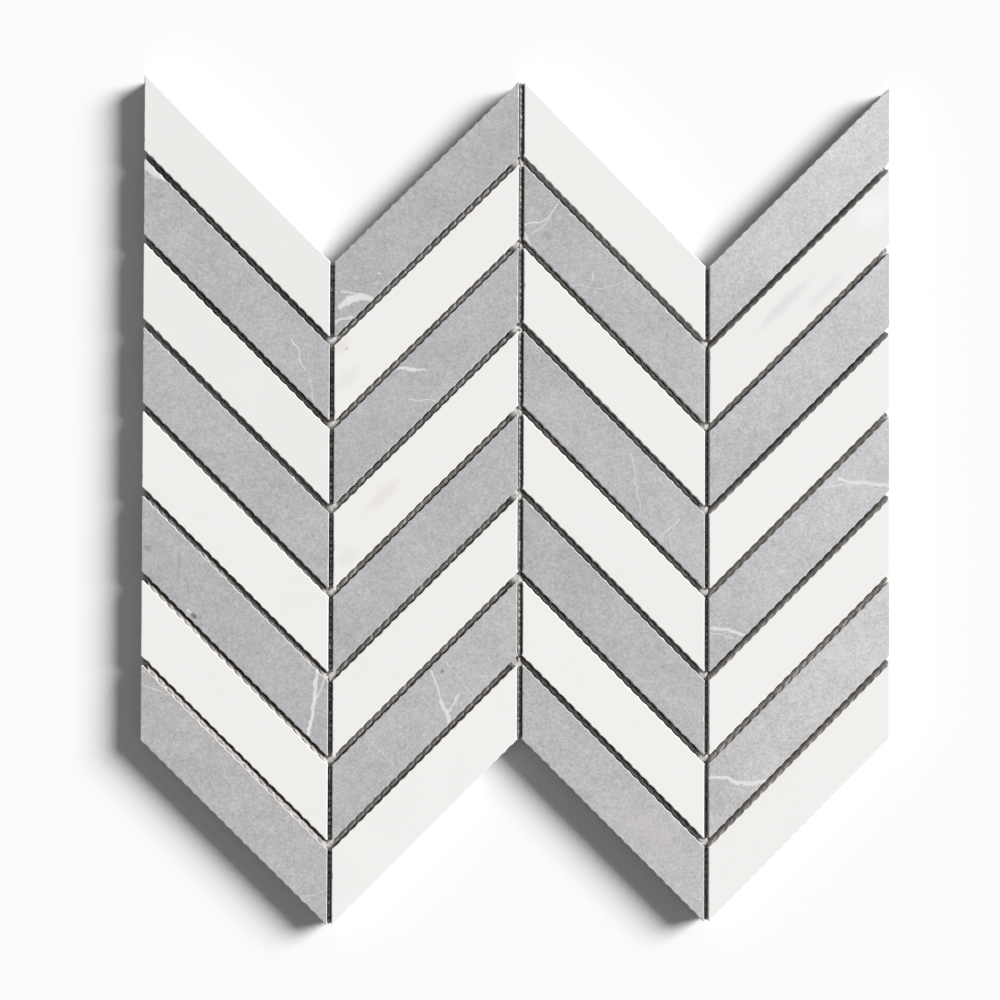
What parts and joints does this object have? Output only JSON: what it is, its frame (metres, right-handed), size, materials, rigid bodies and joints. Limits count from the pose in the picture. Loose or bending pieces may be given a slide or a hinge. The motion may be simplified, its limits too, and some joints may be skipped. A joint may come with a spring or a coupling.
{
  "type": "chevron marble mosaic sheet",
  "caption": "Mesh-backed mosaic sheet of mitred marble strips, white and grey by turns, laid in slanting columns that form chevrons, with open joints and zigzag ends.",
  "frame": {"origin": "middle of the sheet's box, on the underside of the net that lies on the adhesive bed", "axes": "+X across the columns, +Y up the columns, +Z out of the polished face"},
  "size_m": [0.2656, 0.298, 0.01],
  "materials": {
    "white_marble": "honed to a low sheen, sawn sides",
    "grey_marble": "honed to a low sheen, sawn sides",
    "glass_fibre_net": "coated glass threads, matt"
  },
  "bodies": {
    "root": {"white_strip_1_1": "white_marble", "grey_strip_1_2": "grey_marble", "white_strip_1_3": "white_marble", "grey_strip_1_4": "grey_marble", "white_strip_1_5": "white_marble", "grey_strip_1_6": "grey_marble", "white_strip_1_7": "white_marble", "grey_strip_1_8": "grey_marble", "grey_strip_2_1": "grey_marble", "white_strip_2_2": "white_marble", "grey_strip_2_3": "grey_marble", "white_strip_2_4": "white_marble", "grey_strip_2_5": "grey_marble", "white_strip_2_6": "white_marble", "grey_strip_2_7": "grey_marble", "white_strip_2_8": "white_marble", "white_strip_3_1": "white_marble", "grey_strip_3_2": "grey_marble", "white_strip_3_3": "white_marble", "grey_strip_3_4": "grey_marble", "white_strip_3_5": "white_marble", "grey_strip_3_6": "grey_marble", "white_strip_3_7": "white_marble", "grey_strip_3_8": "grey_marble", "grey_strip_4_1": "grey_marble", "white_strip_4_2": "white_marble", "grey_strip_4_3": "grey_marble", "white_strip_4_4": "white_marble", "grey_strip_4_5": "grey_marble", "white_strip_4_6": "white_marble", "grey_strip_4_7": "grey_marble", "white_strip_4_8": "white_marble", "net_1_upper": "glass_fibre_net", "net_1_lower": "glass_fibre_net", "net_2_upper": "glass_fibre_net", "net_2_lower": "glass_fibre_net", "net_3_upper": "glass_fibre_net", "net_3_lower": "glass_fibre_net", "net_4_upper": "glass_fibre_net", "net_4_lower": "glass_fibre_net"}
  },
  "joints": []
}
